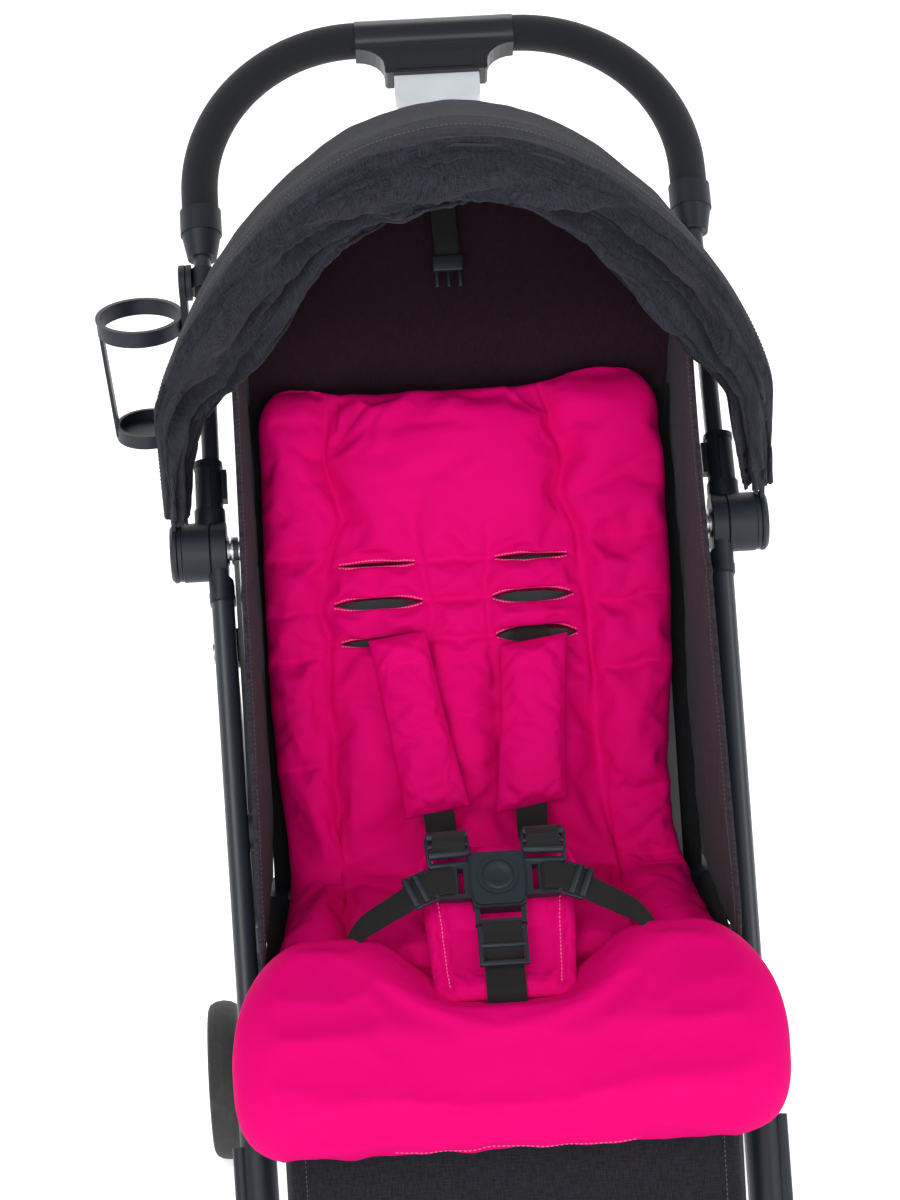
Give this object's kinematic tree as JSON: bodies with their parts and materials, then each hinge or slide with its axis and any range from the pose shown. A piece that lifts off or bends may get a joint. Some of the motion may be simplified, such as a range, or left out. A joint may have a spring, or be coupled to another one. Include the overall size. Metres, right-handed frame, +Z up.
{
  "type": "baby stroller",
  "caption": "Compact folding baby stroller with a half-open hood, quilted seat liner, five-point harness, cup holder, basket and one-hand fold handle.",
  "frame": {"origin": "on the floor, in the middle of the width and the length of the whole stroller with its cup holder", "axes": "+Z up, -Y is the front where the child looks, +X is the child's left"},
  "size_m": [0.555, 0.7159, 1.0401],
  "materials": {
    "powder_coat": "satin powder coat",
    "steel": "satin",
    "black_plastic": "fine texture",
    "grey_plastic": "smooth",
    "foam": "fine foam",
    "melange": "melange weave",
    "lining": "dark lining",
    "pink_cotton": "cotton sateen",
    "webbing": "woven webbing",
    "tyre_rubber": "matte"
  },
  "bodies": {
    "chassis": {"front_leg_left": "powder_coat", "front_leg_right": "powder_coat", "leg_housing_left": "black_plastic", "leg_housing_right": "black_plastic", "hinge_pins": "steel", "lower_housing_left": "black_plastic", "lower_housing_right": "black_plastic", "front_crossbar": "powder_coat", "rear_leg_brackets": "black_plastic", "rear_leg_pins": "steel", "strap_rings": "black_plastic", "seat_rails": "powder_coat", "seat_arms": "powder_coat", "seat_blocks": "black_plastic", "seat_board": "melange", "liner_seat": "pink_cotton", "crotch_pad": "pink_cotton", "side_panel_left": "melange", "side_panel_right": "melange", "basket": "melange", "basket_straps": "webbing", "lap_harness": "webbing", "buckle": "black_plastic"},
    "buckle_release": {"buckle_button": "black_plastic"},
    "handle": {"handle_hub_left": "black_plastic", "handle_hub_right": "black_plastic", "handle_tubes": "powder_coat", "handle_bow": "powder_coat", "handle_collars": "black_plastic", "grip_left": "foam", "grip_right": "foam", "handle_housing": "black_plastic", "cup_clamp": "black_plastic"},
    "fold_release": {"fold_button": "grey_plastic"},
    "cup": {"cup_holder": "black_plastic"},
    "hood": {"hood_caps": "black_plastic", "hood_bow": "black_plastic", "hood_front": "melange"},
    "hood_middle": {"hood_mid_caps": "black_plastic", "hood_mid": "melange", "hood_back_panel": "lining"},
    "rear_legs": {"rear_leg_left": "powder_coat", "rear_leg_right": "powder_coat", "rear_crossbar": "powder_coat"},
    "brake": {"brake_pedal": "black_plastic"},
    "rear_wheel_l": {"rear_wheel_left": "black_plastic", "rear_tyre_left": "tyre_rubber"},
    "rear_wheel_r": {"rear_wheel_right": "black_plastic", "rear_tyre_right": "tyre_rubber"},
    "caster_l": {"caster_left": "black_plastic"},
    "caster_r": {"caster_right": "black_plastic"},
    "front_wheel_l": {"front_wheel_left": "black_plastic", "front_tyre_left": "tyre_rubber"},
    "front_wheel_r": {"front_wheel_right": "black_plastic", "front_tyre_right": "tyre_rubber"},
    "backrest": {"back_frame": "powder_coat", "liner_back": "pink_cotton", "shoulder_harness": "pink_cotton"},
    "calf": {"calf_rest": "melange", "liner_lobe": "pink_cotton"}
  },
  "joints": [
    {"name": "handle_fold", "type": "hinge", "parent": "chassis", "child": "handle", "pos_m": [0.022, 0.051, 0.663], "axis": [1, 0, 0], "range_deg": [-92, 0]},
    {"name": "rear_leg_fold", "type": "hinge", "parent": "chassis", "child": "rear_legs", "pos_m": [0.022, 0.03725, 0.58181], "axis": [1, 0, 0], "range_deg": [-33.62, 0]},
    {"name": "fold_button_slide", "type": "slide", "parent": "handle", "child": "fold_release", "axis": [0, 0.6252, 0.7804], "range_m": [0, 0.008], "stiffness_N_per_m": 400, "springref_m": -0.004},
    {"name": "cup_swivel", "type": "hinge", "parent": "handle", "child": "cup", "pos_m": [-0.241, 0.20168, 0.85108], "axis": [1, 0, 0], "range_deg": [-30, 20]},
    {"name": "hood_open", "type": "hinge", "parent": "chassis", "child": "hood", "pos_m": [0.022, 0.051, 0.663], "axis": [1, 0, 0], "range_deg": [-2, 45]},
    {"name": "hood_middle_open", "type": "hinge", "parent": "chassis", "child": "hood_middle", "pos_m": [0.022, 0.051, 0.663], "axis": [1, 0, 0], "range_deg": [-1, 22.5], "deforming": ["hood_back_panel"]},
    {"name": "back_recline", "type": "hinge", "parent": "chassis", "child": "backrest", "pos_m": [0.022, -0.035, 0.392], "axis": [-1, 0, 0], "range_deg": [0, 28]},
    {"name": "calf_tilt", "type": "hinge", "parent": "chassis", "child": "calf", "pos_m": [0.022, -0.25, 0.376], "axis": [-1, 0, 0], "range_deg": [0, 50], "deforming": ["liner_lobe"]},
    {"name": "buckle_press", "type": "slide", "parent": "chassis", "child": "buckle_release", "axis": [0, 0.6428, -0.766], "range_m": [0, 0.0018], "stiffness_N_per_m": 400, "springref_m": -0.001},
    {"name": "brake_press", "type": "hinge", "parent": "rear_legs", "child": "brake", "pos_m": [0.17, 0.256, 0.074], "axis": [-1, 0, 0], "range_deg": [0, 22]},
    {"name": "rear_wheel_left_spin", "type": "hinge", "parent": "rear_legs", "child": "rear_wheel_l", "pos_m": [0.263, 0.256, 0.074], "axis": [1, 0, 0], "continuous": true},
    {"name": "rear_wheel_right_spin", "type": "hinge", "parent": "rear_legs", "child": "rear_wheel_r", "pos_m": [-0.219, 0.256, 0.074], "axis": [1, 0, 0], "continuous": true},
    {"name": "caster_left_swivel", "type": "hinge", "parent": "chassis", "child": "caster_l", "pos_m": [0.21437, -0.32254, 0.142], "axis": [0, 0, 1], "continuous": true},
    {"name": "caster_right_swivel", "type": "hinge", "parent": "chassis", "child": "caster_r", "pos_m": [-0.17037, -0.32254, 0.142], "axis": [0, 0, 1], "continuous": true},
    {"name": "front_wheel_left_spin", "type": "hinge", "parent": "caster_l", "child": "front_wheel_l", "pos_m": [0.21437, -0.29754, 0.062], "axis": [1, 0, 0], "continuous": true},
    {"name": "front_wheel_right_spin", "type": "hinge", "parent": "caster_r", "child": "front_wheel_r", "pos_m": [-0.17037, -0.29754, 0.062], "axis": [1, 0, 0], "continuous": true}
  ],
  "couplings": [
    {"joint": "rear_leg_fold", "follows": "handle_fold", "ratio": 0.36},
    {"joint": "hood_middle_open", "follows": "hood_open", "ratio": 0.5}
  ]
}
